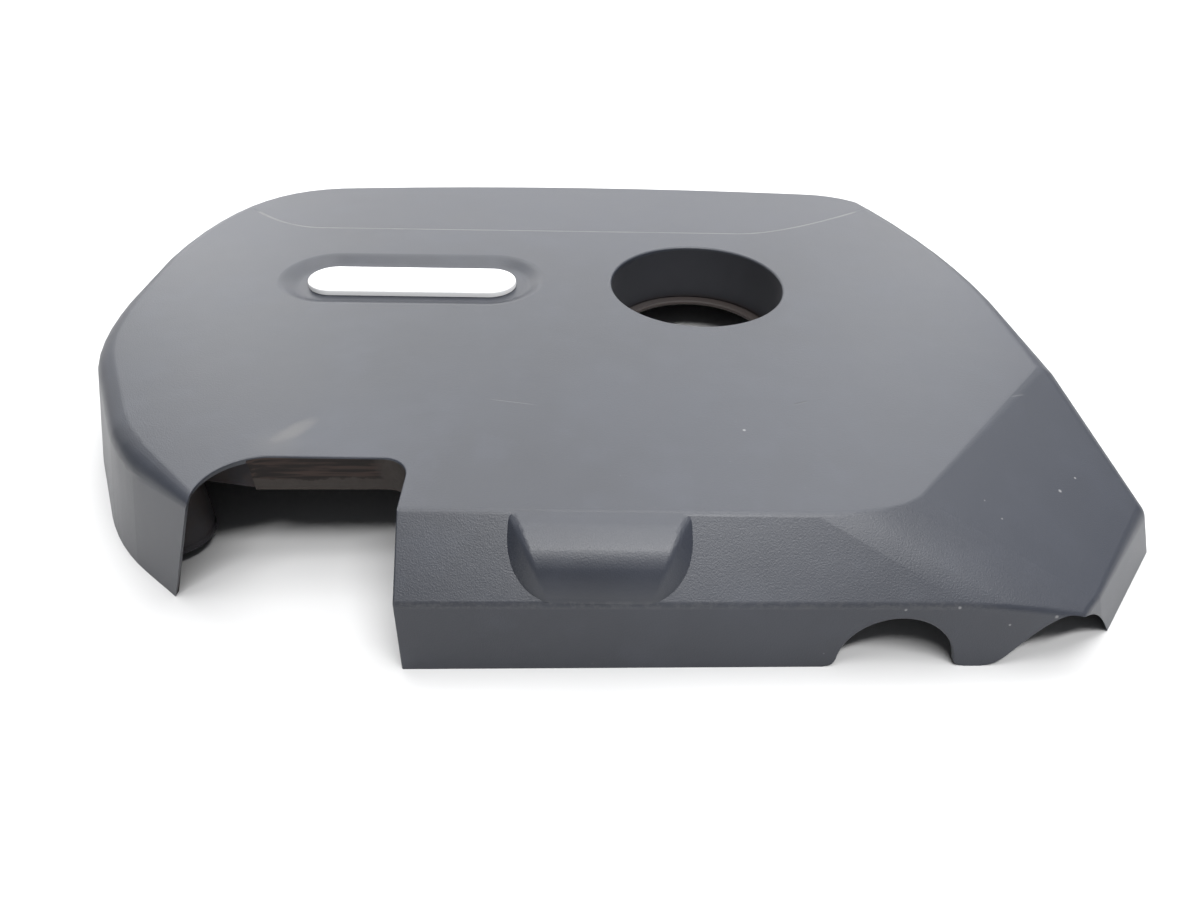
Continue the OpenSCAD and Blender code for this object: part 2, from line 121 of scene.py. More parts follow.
def skirt(i):
    """Plane of the skirt over one side of the rim; it leans in as much as its direction asks"""
    a, b = RIM[i % SIDES], RIM[(i + 1) % SIDES]
    d = (b - a).normalized()
    n = Vector((d.y, -d.x))
    side = abs(n.x) ** LEAN_POWER
    run = side * (LEFT_FLARE if n.x < 0 else RIGHT_FLARE) + (1 - side) * (
        FRONT_FLARE if n.y < 0 else REAR_FLARE)
    lean = math.atan(run / TOP_H)
    up = Vector((n.x * math.cos(lean), n.y * math.cos(lean), math.sin(lean)))
    return up, up.dot(Vector((a.x, a.y, 0)))


def top_z(x):
    return TOP_H - math.tan(TOP_TILT) * x


RIM_LEVEL = (Vector((0, 0, 1)), -1.0)
TOP = (Vector((math.sin(TOP_TILT), 0, math.cos(TOP_TILT))), math.cos(TOP_TILT) * TOP_H)
SLANT_A = Vector((X_R - SLANT_FRONT_X, Y_F + CREASE_Y))
SLANT_B = Vector((X_R - 41, Y_F + SLANT_REAR_Y))
SLANT_D = (SLANT_B - SLANT_A).normalized()
FRONT_FALL = Vector((math.tan(TOP_TILT), -math.tan(FACE_SLOPE)))
SLANT_FALL = Vector((SLANT_D.y, -SLANT_D.x)) * math.tan(SLANT_SLOPE)


def sloped(t):
    """Plane between the front face (0) and the slanted corner face (1)"""
    fall = (1 - t) * FRONT_FALL + t * SLANT_FALL
    n = Vector((fall.x, fall.y, 1)).normalized()
    drop = (SLANT_FALL - FRONT_FALL).length * SLANT_BLEND * (t - t * t) / 2
    return n, n.dot(Vector((SLANT_A.x, SLANT_A.y, top_z(SLANT_A.x) - drop)))


BLEND = 5
SLOPES = [sloped(i / BLEND) for i in range(BLEND + 1)]
SLANT = SLOPES[BLEND]
CROWN = SLOPES + [skirt(i) for i in range(3, SIDES)]
CROWN_R = [CREASE_R] * BLEND + [CREASE_END_R] + [EDGE_R] * (len(CROWN) - BLEND - 2) + [CREASE_R]
RIM_R = [CREASE_R] * 4 + [EDGE_R] * (SIDES - 4)
FOLDS = sum(1 for i in range(BLEND) if meet(SLOPES[i], SLOPES[i + 1], skirt(0)).x < RIM[1].x)
BALLS = (
    [((TOP, CROWN[i], CROWN[(i + 1) % len(CROWN)]), CROWN_R[i]) for i in range(len(CROWN))]
    + [((SLOPES[0], skirt(0), skirt(SIDES - 1)), CREASE_R)]
    + [((SLOPES[i], SLOPES[i + 1], skirt(0 if i < FOLDS else 1)), CREASE_R) for i in range(BLEND)]
    + [((SLOPES[FOLDS], skirt(0), skirt(1)), CREASE_R), ((SLANT, skirt(1), skirt(2)), CREASE_R),
       ((SLANT, skirt(2), skirt(3)), SHOULDER_R)])
UPPER = [TOP] + SLOPES
AROUND = [skirt(i) for i in range(SIDES)]


def depth_below(p, planes):
    """How deep a point lies below the nearest of the planes"""
    return min(d - n.dot(p) for n, d in planes)


# Modelling by hand-like steps
def settle():
    if bpy.context.object and bpy.context.object.mode != "OBJECT":
        bpy.ops.object.mode_set(mode="OBJECT")
    bpy.ops.object.select_all(action="DESELECT")


def pick(piece):
    settle()
    piece.select_set(True)
    bpy.context.view_layer.objects.active = piece


def place(piece, name=None):
    """Brings a piece's place into its mesh"""
    pick(piece)
    bpy.ops.object.transform_apply(location=True, rotation=True, scale=True)
    if name:
        piece.name = name
        piece.data.name = name
    return piece


def join(pieces):
    settle()
    for piece in pieces:
        piece.select_set(True)
    bpy.context.view_layer.objects.active = pieces[0]
    bpy.ops.object.join()
    return place(bpy.context.active_object)


def edit(piece, work):
    pick(piece)
    bpy.ops.object.mode_set(mode="EDIT")
    bpy.ops.mesh.select_all(action="SELECT")
    work()
    bpy.ops.object.mode_set(mode="OBJECT")
    return piece


def wrap(piece):
    """Stretches one convex skin over all points of a piece"""
    def work():
        bpy.ops.mesh.convex_hull()
        bpy.ops.mesh.select_all(action="SELECT")
        bpy.ops.mesh.dissolve_limited(angle_limit=math.radians(0.15))
    return edit(piece, work)


def combine(piece, other, operation):
    pick(piece)
    mod = piece.modifiers.new("combine", "BOOLEAN")
    mod.operation = operation
    mod.object = other
    mod.solver = "MANIFOLD"
    bpy.ops.object.modifier_apply(modifier=mod.name)
    bpy.data.objects.remove(other)
    return piece


def cut(piece, *tools):
    for tool in tools:
        combine(piece, tool, "DIFFERENCE")
    return piece


def fuse(piece, *others):
    for other in others:
        combine(piece, other, "UNION")
    return piece


def loft(rings):
    """Closed solid through rings of points: the first is filled and each next one is extruded"""
    count = len(rings[0])
    settle()
    bpy.ops.mesh.primitive_circle_add(vertices=count, radius=1, fill_type="NGON")
    piece = bpy.context.active_object
    mesh = piece.data
    order = list(range(count))
    for i, p in enumerate(rings[0]):
        mesh.vertices[i].co = Vector(p) * MM
    for row in rings[1:]:
        before = {tuple(round(c, 9) for c in mesh.vertices[v].co): i for i, v in enumerate(order)}
        bpy.ops.object.mode_set(mode="EDIT")
        bpy.ops.mesh.extrude_region_move()
        bpy.ops.object.mode_set(mode="OBJECT")
        for v in mesh.vertices:
            if v.select:
                order[before[tuple(round(c, 9) for c in v.co)]] = v.index
        for i, v in enumerate(order):
            mesh.vertices[v].co = Vector(row[i]) * MM
    return edit(place(piece), lambda: bpy.ops.mesh.normals_make_consistent(inside=False))


def ring(radius, z, matrix=Matrix(), count=160):
    return [matrix @ Vector((radius * math.cos(2 * math.pi * i / count),
                             radius * math.sin(2 * math.pi * i / count), z)) for i in range(count)]


def turned(profile, matrix=Matrix(), count=160):
    """Solid turned from a profile of (radius, height) points"""
    return loft([ring(r, z, matrix, count) for r, z in profile])


def block(low, high, matrix=Matrix()):
    """Box between two corners"""
    (x0, y0, z0), (x1, y1, z1) = low, high
    plan = [(x0, y0), (x1, y0), (x1, y1), (x0, y1)]
    return loft([[matrix @ Vector((x, y, z)) for x, y in plan] for z in (z0, z1)])


def on_top(x, y):
    """Frame on the tilted top over a place"""
    return Matrix.Translation((x, y, top_z(x))) @ Matrix.Rotation(TOP_TILT, 4, "Y")


def oblong(length, width, z, matrix, grow=0.0, turn=24):
    """Ring of an oblong with round ends"""
    reach, radius = (length - width) / 2, width / 2 + grow
    points = []
    for end in (1, -1):
        for i in range(turn + 1):
            a = math.pi * (i / turn - 0.5)
            points.append(matrix @ Vector((end * (reach + radius * math.cos(a)),
                                           end * radius * math.sin(a), z)))
    return points


# The moulded shell
def skin(t, fine):
    """The closed form of the cover, a depth t inside its outer skin"""
    parts = []
    settle()
    for planes, r in BALLS:
        centre = meet(*[inward(plane, r) for plane in planes])
        bpy.ops.mesh.primitive_uv_sphere_add(
            segments=fine, ring_count=fine // 2, radius=(r - t) * MM, location=centre * MM)
        parts.append(bpy.context.active_object)
    for i in range(SIDES):
        r = RIM_R[i]
        centre = meet(inward(skirt(i - 1 + SIDES), r), inward(skirt(i), r), RIM_LEVEL)
        bpy.ops.mesh.primitive_cylinder_add(
            vertices=fine, radius=(r - t) * MM, depth=0.1 * MM, location=centre * MM)
        parts.append(bpy.context.active_object)
    return wrap(join(parts))


def swelling(t, fine):
    """Rolled swelling on the front face, narrow at its foot and wide at its back"""
    e = SWELL_EDGE_R
    roll = SWELL_R - e
    roll_y = Y_F + FRONT_FLARE + SWELL_R - SWELL_BACK_SET
    roll_z = TOP_H - SWELL_R - SWELL_SINK
    spots = []
    for side in (-1, 1):
        for step in range(0, 91, 9):
            a = math.radians(step)
            y, z = roll_y - roll * math.cos(a), roll_z + roll * math.sin(a)
            half = (SWELL_FOOT_W + (SWELL_BACK_W - SWELL_FOOT_W) * step / 120) / 2
            foot = half + SWELL_SPREAD * (0.15 + 0.85 * math.sin(a))
            spots += [(SWELL_X + side * half, y, z), (SWELL_X + side * foot, y, z - SWELL_BANK_H)]
        spots.append((SWELL_X + side * SWELL_BACK_W / 2, Y_F + CREASE_Y + e, roll_z + roll))
    spots = [(sx, sy, sz - (sx - SWELL_X) * math.tan(TOP_TILT)) for sx, sy, sz in spots]
    parts = []
    settle()
    for spot in spots:
        bpy.ops.mesh.primitive_uv_sphere_add(
            segments=fine, ring_count=fine // 2, radius=(e - t) * MM, location=Vector(spot) * MM)
        parts.append(bpy.context.active_object)
    return wrap(join(parts))


def pocket(t):
    """Pocket for the badge: on the outside its banks roll softly into floor and top"""
    turn = math.tan(math.atan2(POCKET_BANK, POCKET_DEPTH) / 2)
    length = BADGE_SIZE[0] + 2 * POCKET_ROOM + 2 * t * turn
    width = BADGE_SIZE[1] + 2 * POCKET_ROOM + 2 * t * turn
    matrix = on_top(*BADGE_AT)
    if t:
        rise = PAST / 2
        run = POCKET_BANK * (POCKET_DEPTH + rise) / POCKET_DEPTH
        profile = [(0, -POCKET_DEPTH - t), (run, rise - t)]
    else:
        profile = POCKET_ROLL
    return loft([oblong(length, width, z, matrix, grow) for grow, z in profile])


def band(t):
    """Lowered band along the rear edge, with a soft roll down to it along its crease"""
    back = BAND_Y + PAST
    left, right = X_L + BAND_ENDS[0], X_R - BAND_ENDS[1]
    path = (bend((X_L - 5, back), (left - BAND_TURN, 0), (left, 0), 24)
            + bend((left, 0), ((left + right) / 2, 0), (right, 0), 8)
            + bend((right, 0), (right + BAND_TURN, 0), (X_R + 5, back), 24) + [Vector((X_R + 5, back))])
    matrix = (Matrix.Translation((0, Y_B - BAND_Y, TOP_H - BAND_STEP - t))
              @ Matrix.Rotation(TOP_TILT, 4, "Y") @ Matrix.Rotation(-BAND_FALL, 4, "X"))
    out = []
    for i, p in enumerate(path):
        d = (path[min(i + 1, len(path) - 1)] - path[max(i - 1, 0)]).normalized()
        out.append(Vector((d.y, -d.x)))
    rows = []
    for grow, drop in BAND_ROLL:
        row = []
        for p, n in zip(path, out):
            h = BAND_STEP + max(p.y, 0) * math.tan(BAND_FALL)
            q = p + n * grow
            row.append(matrix @ Vector((q.x, q.y, h - drop)))
        rows.append(row)
    wide = t if t else BAND_ROLL[-1][0]
    low = [matrix @ Vector(((p + n * t).x, (p + n * t).y, 0)) for p, n in zip(path, out)]
    high = [matrix @ Vector(((p + n * wide).x, (p + n * wide).y, PAST)) for p, n in zip(path, out)]
    return loft([low] + ([] if t else rows) + [high])


def form(t, fine):
    """The cover's full form with its band and pocket, a depth t inside its outer skin"""
    body = fuse(skin(t, fine), swelling(t, max(16, fine // 2)))
    return cut(body, band(t), pocket(t))


def lip_out(depth):
    """How far a cut widens at a depth below the skin, for a rounded edge"""
    s = min(max(depth, 0.0), LIP)
    return LIP - math.sqrt(LIP * LIP - (LIP - s) ** 2)


def reach_of(line, level, low, high):
    """Where a line of points reaches a depth below the skin, found by halving"""
    for _ in range(40):
        mid = (low + high) / 2
        if line(mid) > level:
            low = mid
        else:
            high = mid
    return (low + high) / 2


def notch_tool():
    """Cutter for the front notch, widened along the skin so that the notch's edge is rounded"""
    left = X_L + NOTCH_X[0]
    w = NOTCH_X[1] - NOTCH_X[0]
    r0, r1 = NOTCH_R
    columns = []
    for c in (-PAST, -1.5, 0, 0.12, 0.3, 0.55, 0.9, 1.4):
        columns.append((w, c, (1, 0), 0, True))
    for y in (9, 14, 20, 26, 29, 30.5, 32, 33.5, 36, 44, 50):
        columns.append((w, y, (1, 0), 0, False))
    for i in range(11):
        a = math.pi / 2 * i / 10
        columns.append((w - r1 + r1 * math.cos(a), NOTCH_DEPTH - r1 + r1 * math.sin(a),
                        (math.cos(a), math.sin(a)), 0, False))
    for i in range(1, 8):
        columns.append((w - r1 - (w - r1 - r0) * i / 8, NOTCH_DEPTH, (0, 1), 1 if i > 5 else 0, False))
    for i in range(17):
        a = math.pi / 2 * (1 + i / 16)
        columns.append((r0 + r0 * math.cos(a), NOTCH_DEPTH - r0 + r0 * math.sin(a),
                        (math.cos(a), math.sin(a)), 1, False))
    for y in (36, 33.5, 32, 30.5, 28, 22, 14, 6, 0, -PAST):
        columns.append((0, y, (-1, 0), 1, False))
    slope = math.tan(NOTCH_LEAN)

    def spot(column, z, out=0.0):
        x, y, n, leaning, follows = column
        px = left + x - leaning * slope * (TOP_H + 2.4 - z) + out * n[0]
        if follows:
            front = skirt(0)
            y += (front[1] - front[0].x * px - front[0].z * z) / front[0].y - Y_F
        return Vector((px, Y_F + y + out * n[1], z))

    heights = [[-PAST] * len(columns)]
    for share in (0.0, 0.3, 0.6, 0.85):
        heights.append([share * (reach_of(lambda z: depth_below(spot(c, z), UPPER), LIP, -30, 90) - 1)
                        for c in columns])
    for s in LIP_ROWS:
        heights.append([reach_of(lambda z: depth_below(spot(c, z), UPPER), s * LIP, -30, 90)
                        for c in columns])
    heights.append([90.0] * len(columns))
    rings = []
    for k, row in enumerate(heights):
        points = []
        for c, z in zip(columns, row):
            deep = depth_below(spot(c, z), UPPER + (AROUND[:1] if c[4] or c[1] < 20 and not c[3] else []))
            points.append(spot(c, z, LIP if k == len(heights) - 1 else lip_out(deep)))
        rings.append(points)
    return loft(rings)


def rim_tool(outline, normals):
    """Cutter through the front skirt below an outline of (x, z) points, widened along the skin"""
    skins = AROUND[:4] + AROUND[-8:] + UPPER

    def spot(i, y, out=0.0):
        return Vector((outline[i][0] + out * normals[i][0], y, outline[i][1] + out * normals[i][1]))

    spans = range(len(outline))
    rows = [[Y_F + CREASE_Y] * len(outline)]
    for s in LIP_ROWS:
        rows.append([-reach_of(lambda y: depth_below(spot(i, -y), skins), s * LIP,
                               -(Y_F + CREASE_Y), -(Y_F - 30)) for i in spans])
    rows.append([Y_F - 30] * len(outline))
    rings = []
    for k, row in enumerate(rows):
        last = k == len(rows) - 1
        rings.append([spot(i, row[i], LIP if last else lip_out(depth_below(spot(i, row[i]), skins)))
                      for i in spans])
    return loft(rings)


def along(points):
    """Outward normals of an open outline that runs from left to right over a cut-out"""
    normals = []
    for i in range(len(points)):
        a, b = points[max(i - 1, 0)], points[min(i + 1, len(points) - 1)]
        d = (Vector(b) - Vector(a)).normalized()
        normals.append((-d.y, d.x))
    return normals


def arch_tool():
    """Cutter for the arch in the front rim, with round feet"""
    cx, rise = X_R - ARCH_X, ARCH_H - ARCH_R
    reach = math.sqrt(ARCH_R ** 2 - (FOOT_R - rise) ** 2)
    start = math.asin((FOOT_R - rise) / ARCH_R)
    foot = bend((ARCH_R + FOOT_R, -0.2), (ARCH_R, -0.2), (reach, FOOT_R), 8)
    outline = [(cx - ARCH_R - FOOT_R, -PAST)] + [(cx - p.x, p.y) for p in foot]
    for i in range(37):
        a = start + (math.pi - 2 * start) * i / 36
        outline.append((cx - ARCH_R * math.cos(a), rise + ARCH_R * math.sin(a)))
    outline += [(cx + p.x, p.y) for p in reversed(foot)] + [(cx + ARCH_R + FOOT_R, -PAST)]
    return rim_tool(outline, along(outline))


def corner_tool():
    """Cutter for the long low cut-out at the front right corner"""
    left, right = (X_R - CORNER_CUT_X[0], -2.0), (X_R - CORNER_CUT_X[2], -2.0)
    crest = (X_R - CORNER_CUT_X[1], CORNER_CUT_H)
    rise = bend(left, (left[0] + CORNER_TURN[0], CORNER_CUT_H), crest, 18)
    curve = (bend((left[0] - FOOT_R, -0.2), (left[0] + 1, -0.2), rise[3], 8) + rise[3:]
             + bend(crest, (right[0] - CORNER_TURN[1], CORNER_CUT_H), right, 16) + [Vector(right)])
    outline = [(left[0] - FOOT_R, -PAST)] + [tuple(p) for p in curve] + [(right[0], -PAST)]
    return rim_tool(outline, along(outline))


def notch_plan(grow, turn=12):
    """Plan of the notch's rear end as a ring, from the right front corner round to the left"""
    w = NOTCH_X[1] - NOTCH_X[0]
    r0, r1 = NOTCH_R
    points = [(w + grow, 0)]
    for i in range(turn + 1):
        a = math.pi / 2 * i / turn
        points.append((w - r1 + (r1 + grow) * math.cos(a), NOTCH_DEPTH - r1 + (r1 + grow) * math.sin(a)))
    for i in range(turn + 1):
        a = math.pi / 2 * (1 + i / turn)
        points.append((r0 + (r0 + grow) * math.cos(a), NOTCH_DEPTH - r0 + (r0 + grow) * math.sin(a)))
    return points + [(-grow, 0)]


def flange():
    """Wall that hangs below the top along the notch's rear end"""
    left = X_L + NOTCH_X[0]
    top = top_z(left)

    def prism(plan, z0, z1):
        return loft([[(left + x, Y_F + y, z) for x, y in plan] for z in (z0, z1)])

    piece = prism(notch_plan(WALL), top - WALL - FLANGE_DEPTH, top)
    start = NOTCH_DEPTH - NOTCH_R[1]
    return cut(
        piece, prism(notch_plan(0), 0, top + PAST),
        block((left - PAST, Y_F - PAST, 0), (left + 200, Y_F + start, top + PAST)),
        block((left - PAST, Y_F - PAST, 0), (left + FLANGE_START, Y_F + NOTCH_DEPTH + PAST, top + PAST)))


def web():
    """Rib between the front left tower and the flange"""
    (mx, my) = MOUNTS[0]
    end = Vector((X_L + NOTCH_X[0] + FLANGE_START + 4 - mx, Y_F + NOTCH_DEPTH + WALL / 2 - my))
    matrix = Matrix.Translation((mx, my, TOP_H - FLANGE_DEPTH)) @ Matrix.Rotation(
        math.atan2(end.y, end.x), 4, "Z")
    return block((TOWER_D / 2 - TOWER_T, -RIB_T / 2, 0), (end.length, RIB_T / 2, PAST), matrix)


def tower(x, y):
    """Hollow tower with a seat for one rubber mount"""
    r = TOWER_D / 2
    matrix = Matrix.Translation((x, y, TOWER_FOOT))
    z0, z1, z2, z3 = GROOVE_Z
    piece = turned([(r - TOWER_CHAMFER, 0), (r, TOWER_CHAMFER), (r, z0), (r - GROOVE_DEPTH, z1),
                    (r - GROOVE_DEPTH, z2), (r, z3), (r, TOP_H + PAST)], matrix, 72)
    return cut(piece, turned([(r - TOWER_T, SEAT_T), (r - TOWER_T, TOP_H + 2 * PAST)], matrix, 72))


def ribs():
    """Grid of ribs under the top, open round the filler"""
    matrix = on_top(0, 0)
    low, high = -WALL - RIB_H, -WALL / 2
    bars = [block((i * RIB_PITCH - RIB_T / 2, Y_F, low), (i * RIB_PITCH + RIB_T / 2, Y_B, high), matrix)
            for i in range(-3, 4)]
    bars += [block((X_L, i * RIB_PITCH - RIB_T / 2, low), (X_R, i * RIB_PITCH + RIB_T / 2, high), matrix)
             for i in range(-1, 3)]
    grid = fuse(bars[0], *bars[1:])
    return cut(grid, turned([(FILLER_R, low - 5), (FILLER_R, 10)], on_top(*FILLER_AT), 96))


def collar_and_hole(shell):
    """Collar of the filler with its rounded mouth, and a groove and a lip low inside it"""
    matrix = on_top(*FILLER_AT)
    r = FILLER_R
    foot = -COLLAR_DEPTH
    outer = r + COLLAR_T
    fuse(shell, turned([(outer - 0.8, foot), (outer, foot + 0.8), (outer, -WALL / 2)], matrix))
    lip = r - COLLAR_LIP
    return cut(shell, turned(
        [(lip + 1.0, foot - 5), (lip + 0.6, foot - 0.01), (lip + 0.2, foot + 0.3), (lip, foot + 0.8),
         (lip, foot + 1.5), (lip + 0.3, foot + 2.1), (lip + 0.9, foot + 2.5), (r - 0.4, foot + 2.6),
         (r + 0.9, foot + 2.65), (r + 0.9, foot + 3.3), (r, foot + 3.4), (r, -LIP * 1.4), (r + 0.06, -LIP),
         (r + 0.25, -0.6), (r + 0.55, -0.28), (r + 0.95, -0.07), (r + 1.35, 0.01), (r + 1.5, 12)], matrix))


def make_shell():
    """The moulding: outer form less inner form, what hangs inside it, and all its cuts"""
    shell = form(0, 48)
    cut(shell, form(WALL, 24))
    inside = fuse(ribs(), *[tower(x, y) for x, y in MOUNTS])
    fuse(inside, flange(), web())
    combine(inside, form(WALL / 2, 24), "INTERSECT")
    fuse(shell, inside)
    collar_and_hole(shell)
    cut(shell, block((X_L - PAST, Y_F - PAST, -2 * PAST), (X_R + PAST, Y_B + PAST, 0)))
    cut(shell, notch_tool(), arch_tool(), corner_tool())
    for x, y in MOUNTS:
        matrix = Matrix.Translation((x, y, TOWER_FOOT))
        cut(shell, turned([(SEAT_D / 2, -1), (SEAT_D / 2, SEAT_T + 1)], matrix, 64))
    matrix = on_top(*BADGE_AT)
    for side in (-1, 1):
        hole = matrix @ Matrix.Translation((side * (BADGE_SIZE[0] - BADGE_SIZE[1]) / 2, 0, 0))
        cut(shell, turned([(PIN_HOLE_R, -POCKET_DEPTH - WALL - 1), (PIN_HOLE_R, -POCKET_DEPTH + 1)],
                          hole, 32))
    edit(shell, lambda: bpy.ops.mesh.dissolve_limited(angle_limit=math.radians(0.1)))
    pick(shell)
    bpy.ops.object.shade_smooth_by_angle(angle=SMOOTH_SHELL)
    even = shell.modifiers.new("even shading", "WEIGHTED_NORMAL")
    even.keep_sharp = True
    even.weight = 100
    bpy.ops.object.modifier_apply(modifier=even.name)
    return place(shell, "moulded_cover")


def make_badge():
    """Oblong plate with a raised round border, a sunk satin field and two pins with closed heads"""
    matrix = on_top(*BADGE_AT) @ Matrix.Translation((0, 0, -POCKET_DEPTH))
    length, width = BADGE_SIZE
    plate = loft([oblong(length, width, z, matrix, grow, 32) for grow, z in BADGE_EDGE])
    for side in (-1, 1):
        pin = matrix @ Matrix.Translation((side * (length - width) / 2, 0, 0))
        fuse(plate, turned([(3.2, -WALL - 1.2), (3.5, -WALL - 0.9), (3.1, -WALL - 0.25),
                            (PIN_R, -WALL - 0.02), (PIN_R, 0.5)], pin, 40))
    pick(plate)
    bpy.ops.object.shade_smooth_by_angle(angle=SMOOTH_BADGE)
    return place(plate, "badge_plate_fine")


# Finishes
class Amount:
    """A number that varies over a surface; sums and products of it add Math nodes"""

    def __init__(self, finish, socket):
        self.finish, self.socket = finish, socket

    def __add__(self, other):
        return self.finish.sum_up("ADD", self, other)

    def __sub__(self, other):
        return self.finish.sum_up("SUBTRACT", self, other)

    def __rsub__(self, other):
        return self.finish.sum_up("SUBTRACT", other, self)

    def __mul__(self, other):
        return self.finish.sum_up("MULTIPLY", self, other)

    def __truediv__(self, other):
        return self.finish.sum_up("DIVIDE", self, other)

    __radd__, __rmul__ = __add__, __mul__


class Finish:
    """A procedural material; node adds one node, and the other methods name what is used often"""

    def __init__(self, name, **constants):
        self.material = bpy.data.materials.new(name)
        self.material.use_nodes = True
        self.tree = self.material.node_tree
        self.shader = self.tree.nodes["Principled BSDF"]
        for key, value in constants.items():
            self.shader.inputs[key.replace("_", " ")].default_value = value
        self.at = self.node("ShaderNodeTexCoord").outputs["Object"]

    def node(self, kind, settings=None, **values):
        """Adds a node; a socket is given by its name, or as i0, i1 and so on by its number"""
        made = self.tree.nodes.new(kind)
        for key, value in (settings or {}).items():
            setattr(made, key, value)
        for key, value in values.items():
            numbered = key[0] == "i" and key[1:].isdigit()
            slot = made.inputs[int(key[1:]) if numbered else key]
            value = value.socket if isinstance(value, Amount) else value
            if isinstance(value, bpy.types.NodeSocket):
                self.tree.links.new(value, slot)
            else:
                slot.default_value = value
        return made

    def sum_up(self, operation, *values):
        slots = {"i%d" % i: value for i, value in enumerate(values)}
        return Amount(self, self.node("ShaderNodeMath", {"operation": operation}, **slots).outputs[0])

    def stretched(self, scale):
        return self.node("ShaderNodeMapping", None, Vector=self.at, Scale=scale).outputs[0]

    def noise(self, scale, detail=2.0, rough=0.5, at=None):
        made = self.node("ShaderNodeTexNoise", None, Vector=at or self.at, Scale=scale, Detail=detail,
                         Roughness=rough)
        return Amount(self, made.outputs["Fac"])

    def step(self, amount, low, high, first=0.0, last=1.0):
        made = self.node("ShaderNodeMapRange", {"interpolation_type": "SMOOTHSTEP"}, i0=amount, i1=low,
                         i2=high, i3=first, i4=last)
        return Amount(self, made.outputs[0])

    def axis(self, name):
        return Amount(self, self.node("ShaderNodeSeparateXYZ", None, Vector=self.at).outputs[name])

    def mix(self, share, a, b):
        made = self.node("ShaderNodeMix", {"data_type": "RGBA"}, i0=share, i6=a, i7=b)
        return made.outputs[2]

    def near(self, spot, radius, soft=0.5, at=None):
        """1 within a radius of a spot, fading out over the soft share of it"""
        apart = self.node("ShaderNodeVectorMath", {"operation": "DISTANCE"}, i0=at or self.at, i1=spot)
        return self.step(Amount(self, apart.outputs["Value"]), radius * (1 - soft), radius, 1.0, 0.0)

    def depth(self, plane):
        """How deep a point lies below a plane of the skin"""
        reach = self.node("ShaderNodeVectorMath", {"operation": "DOT_PRODUCT"}, i0=self.at, i1=plane[0])
        return plane[1] * MM - Amount(self, reach.outputs["Value"])

    def crease(self, one, other, width):
        """1 along the fold where two planes of the skin meet"""
        deep = self.sum_up("ABSOLUTE", self.depth(one)) + self.sum_up("ABSOLUTE", self.depth(other))
        return self.step(deep, 0.6 * width, 2.5 * width, 1.0, 0.0)

    def scratch(self, start, end, width):
        """1 along a fine straight scratch on the top face"""
        a, b = Vector(start), Vector(end)
        d = (b - a).normalized()
        x, y = self.axis("X"), self.axis("Y")
        run = (x - a.x) * d.x + (y - a.y) * d.y
        side = self.sum_up("ABSOLUTE", (x - a.x) * d.y - (y - a.y) * d.x)
        length = (b - a).length
        ends = self.step(run, 0.0, length * 0.25) * self.step(run, length * 0.7, length, 1.0, 0.0)
        return self.step(side, width * 0.3, width, 1.0, 0.0) * ends

    def bump(self, height, distance, strength=1.0, under=None):
        values = {"Height": height, "Distance": distance, "Strength": strength}
        if under:
            values["Normal"] = under
        return self.node("ShaderNodeBump", None, **values).outputs[0]

    def feed(self, **sockets):
        for key, value in sockets.items():
            value = value.socket if isinstance(value, Amount) else value
            self.tree.links.new(value, self.shader.inputs[key.replace("_", " ")])
        return self.material


# Wear in metres: pale specks with their radius, a wiped smudge with its direction, and scratches
SPECKS = (
    ((0.1292, -0.1910, 0.0299), 0.0008), ((0.1503, -0.1907, 0.0308), 0.0009),
    ((0.1720, -0.1915, 0.0219), 0.0007), ((0.1897, -0.1910, 0.0259), 0.0010),
    ((0.1904, -0.1912, 0.0233), 0.0010), ((0.2110, -0.1296, 0.0398), 0.0011),
    ((0.2220, -0.1195, 0.0390), 0.0008), ((0.0735, -0.1075, 0.0568), 0.0010))
SMUDGE_AT, SMUDGE_WAY, SMUDGE_HALF = (-0.1256, -0.1118), (0.62, 0.78), (0.013, 0.0055)
SMUDGE_FOOT = (-0.131, -0.121, 0.060)
NICK = (0.0985, -0.0868), (0.1070, -0.0832)
FINE_SCRATCH, FINEST_SCRATCH = ((0.2035, -0.0775), (0.2125, -0.0735)), ((-0.044, -0.085), (-0.018, -0.090))
COLLAR_FOOT_AT = (0.0637, 0.035, 0.0205)
COOL = (0.86, 0.96, 1.26)


def grey(level, tint=(1.0, 1.0, 1.0)):
    """Colour of a display level from 0 to 255"""
    c = level / 255
    linear = c / 12.92 if c <= 0.04045 else ((c + 0.055) / 1.055) ** 2.4
    return (linear * tint[0], linear * tint[1], linear * tint[2], 1)


def cover_plastic(name, gloss=0.5):
    """Grey plastic in soft clouds and patches, as the shell's finishes share it"""
    f = Finish(name, Specular_IOR_Level=gloss)
    cloud = f.noise(7.0, 3.0, 0.55)
    patch = f.noise(38.0, 3.0, 0.6)
    tone = f.mix(f.step(cloud, 0.35, 0.65), grey(47, COOL), grey(54, COOL))
    tone = f.mix(f.step(patch, 0.45, 0.75) * 0.35, tone, grey(62, COOL))
    return f, tone, cloud, patch


